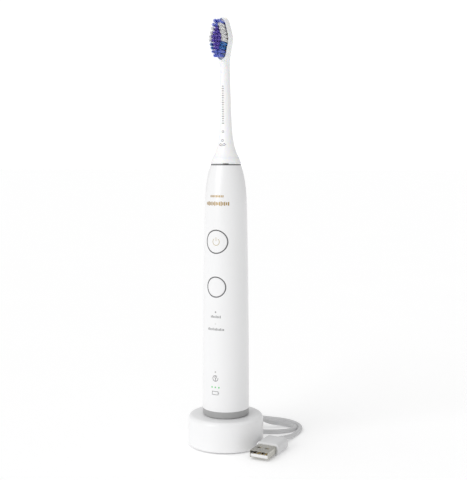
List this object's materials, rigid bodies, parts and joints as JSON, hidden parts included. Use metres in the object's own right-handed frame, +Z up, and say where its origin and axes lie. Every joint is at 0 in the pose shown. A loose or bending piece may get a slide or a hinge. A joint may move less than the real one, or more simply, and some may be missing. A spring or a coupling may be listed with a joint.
{
  "type": "electric toothbrush on charger",
  "caption": "Slim sonic toothbrush standing on a small round charger, with a thin cord in loose loops and a flat plug.",
  "frame": {"origin": "on the table, under the middle of the charger", "axes": "+Z up along the brush, -Y is the front with the buttons and bristles, the cord leaves the charger at +Y"},
  "size_m": [0.0837, 0.0845, 0.2662],
  "materials": {
    "white_gloss": "smooth white moulded plastic with a soft shine",
    "white_soft": "soft white elastomer",
    "base_plate": "fine matt",
    "foot_rubber": "matt grey rubber",
    "ferrite": "dull dark sintered",
    "bobbin": "natural moulded",
    "copper": "enamelled copper wire",
    "board_green": "circuit board lacquer",
    "chip_black": "moulded black",
    "cord_white": "satin cord jacket",
    "tie_grey": "matt strap",
    "plug_white": "fine matt overmould",
    "plug_metal": "bright plated sheet",
    "tongue_white": "moulded",
    "gilt": "gilt contacts",
    "ring_grey": "satin grey",
    "joint_grey": "dark satin",
    "seal_rubber": "matt black rubber",
    "brass_bush": "turned",
    "frame_grey": "glass-filled moulding",
    "core_steel": "stacked laminations",
    "spring_steel": "ground steel",
    "cell_wrap": "shrink sleeve",
    "nickel": "nickel strip",
    "lamp_green": "clear cap, lit green",
    "guide_clear": "clear moulded rods",
    "cap_grey": "satin grey",
    "rotor_grey": "moulded",
    "magnet_steel": "nickel plated",
    "plunger_grey": "moulded",
    "socket_white": "moulded",
    "bristle_white": "nylon filaments",
    "bristle_blue": "nylon filaments",
    "bristle_purple": "nylon filaments",
    "bristle_teal": "nylon filaments"
  },
  "bodies": {
    "charger": {"charger_shell": "white_gloss", "charger_base": "base_plate", "foot_ring": "foot_rubber", "ferrite_core": "ferrite", "coil_bobbin": "bobbin", "primary_coil": "copper", "charger_board": "board_green", "charger_board_parts": "chip_black", "strain_relief": "cord_white", "cord_near": "cord_white", "cord_far": "cord_white", "cord_coil": "cord_white", "cord_tie": "tie_grey", "usb_overmould": "plug_white", "usb_shell": "plug_metal", "usb_tongue": "tongue_white", "usb_contacts": "gilt"},
    "handle": {"handle_shell": "white_gloss", "joint_ring": "joint_grey", "shaft_seal": "seal_rubber", "upper_bush": "brass_bush", "lower_bush": "brass_bush", "inner_frame": "frame_grey", "stator_core": "core_steel", "drive_coil": "copper", "torsion_bar": "spring_steel", "cell": "cell_wrap", "cell_tabs": "nickel", "handle_board": "board_green", "board_chips": "chip_black", "switch_bodies": "chip_black", "lamps": "lamp_green", "light_guides": "guide_clear", "power_ring": "ring_grey", "mode_ring": "ring_grey", "receiver_coil": "copper", "bottom_cap": "cap_grey", "cap_seal": "seal_rubber", "frame_screws": "spring_steel"},
    "drive": {"drive_shaft": "spring_steel", "rotor": "rotor_grey", "rotor_magnets": "magnet_steel"},
    "brush_head": {"head_shell": "white_gloss", "head_base_ring": "white_gloss", "shaft_socket": "socket_white", "shaft_clip": "spring_steel", "head_tag": "copper", "bristle_plate": "white_gloss", "soft_rim": "white_soft", "white_tufts": "bristle_white", "blue_tufts": "bristle_blue", "purple_tufts": "bristle_purple", "teal_tufts": "bristle_teal"},
    "power_button": {"power_button": "white_gloss"},
    "mode_button": {"mode_button": "white_gloss"},
    "power_plunger": {"power_plunger": "plunger_grey"},
    "mode_plunger": {"mode_plunger": "plunger_grey"}
  },
  "joints": [
    {"name": "lift_off", "type": "slide", "parent": "charger", "child": "handle", "axis": [0, 0, 1], "range_m": [0, 0.03]},
    {"name": "drive_swing", "type": "hinge", "parent": "handle", "child": "drive", "pos_m": [0, 0, 0.1], "axis": [0, 0, 1], "range_deg": [-4.5, 4.5], "stiffness_Nm_per_rad": 0.2},
    {"name": "head_pull", "type": "slide", "parent": "drive", "child": "brush_head", "axis": [0, 0, 1], "range_m": [0, 0.026]},
    {"name": "power_press", "type": "slide", "parent": "handle", "child": "power_button", "axis": [0, 1, 0], "range_m": [0, 0.0004], "stiffness_N_per_m": 2500},
    {"name": "mode_press", "type": "slide", "parent": "handle", "child": "mode_button", "axis": [0, 1, 0], "range_m": [0, 0.0004], "stiffness_N_per_m": 2500},
    {"name": "power_plunge", "type": "slide", "parent": "handle", "child": "power_plunger", "axis": [0, 1, 0], "range_m": [0, 0.0004]},
    {"name": "mode_plunge", "type": "slide", "parent": "handle", "child": "mode_plunger", "axis": [0, 1, 0], "range_m": [0, 0.0004]}
  ],
  "couplings": [
    {"joint": "power_plunge", "follows": "power_press", "ratio": 1},
    {"joint": "mode_plunge", "follows": "mode_press", "ratio": 1}
  ]
}
